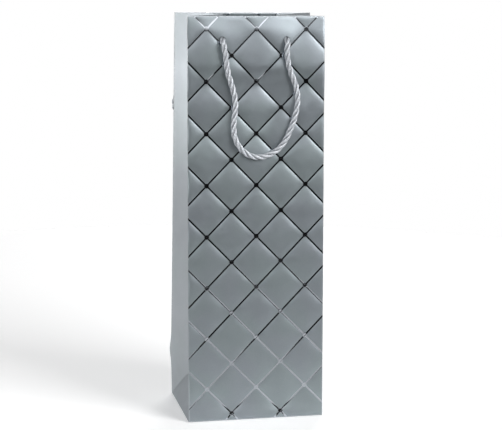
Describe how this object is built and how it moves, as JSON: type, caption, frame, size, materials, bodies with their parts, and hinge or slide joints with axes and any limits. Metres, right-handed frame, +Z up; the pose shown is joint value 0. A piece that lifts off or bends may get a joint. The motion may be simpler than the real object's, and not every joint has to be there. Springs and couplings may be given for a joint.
{
  "type": "wine gift bag",
  "caption": "Tall paper gift bag for a bottle, with folded-in side gussets, a quilted-look print and twisted rope handles at front and back.",
  "frame": {"origin": "centre of the underside of the base, on the surface the bag stands on", "axes": "+Z up the bag towards the open rim; the front panel faces -Y; X runs across the width"},
  "size_m": [0.12, 0.1394, 0.35],
  "materials": {
    "printed_paper": "satin silver laminated paper, printed with a soft shaded diamond quilt and stamped with thin mirror-foil lines and dots",
    "gusset_paper": "plain satin silver laminated paper",
    "white_paper": "uncoated white inside of the paper",
    "card": "plain grey board",
    "foil": "mirror-bright silver hot-stamped foil",
    "rope": "glossy silver-grey satin rope of three twisted strands"
  },
  "bodies": {
    "bag": {"front_panel": "printed_paper", "back_panel": "printed_paper", "left_gusset_front": "gusset_paper", "left_gusset_rear": "gusset_paper", "right_gusset_front": "gusset_paper", "right_gusset_rear": "gusset_paper", "left_gusset_foot": "gusset_paper", "right_gusset_foot": "gusset_paper", "side_seam_flap": "white_paper", "front_hem": "printed_paper", "rear_hem": "printed_paper", "left_gusset_hem": "gusset_paper", "right_gusset_hem": "gusset_paper", "front_stiffener": "card", "rear_stiffener": "card", "left_bottom_flap": "white_paper", "right_bottom_flap": "white_paper", "front_bottom_flap": "gusset_paper", "rear_bottom_flap": "gusset_paper", "base_board": "card", "front_rope_ends": "rope", "rear_rope_ends": "rope", "front_knots": "rope", "rear_knots": "rope"},
    "front_loop": {"front_handle": "rope"},
    "rear_loop": {"rear_handle": "rope"}
  },
  "joints": [
    {"name": "front_handle_swing", "type": "hinge", "parent": "bag", "child": "front_loop", "pos_m": [0, -0.03024, 0.33042], "axis": [-1, 0, 0], "range_deg": [0, 178]},
    {"name": "rear_handle_swing", "type": "hinge", "parent": "bag", "child": "rear_loop", "pos_m": [0, 0.03905, 0.33035], "axis": [1, 0, 0], "range_deg": [-29, 148]}
  ]
}
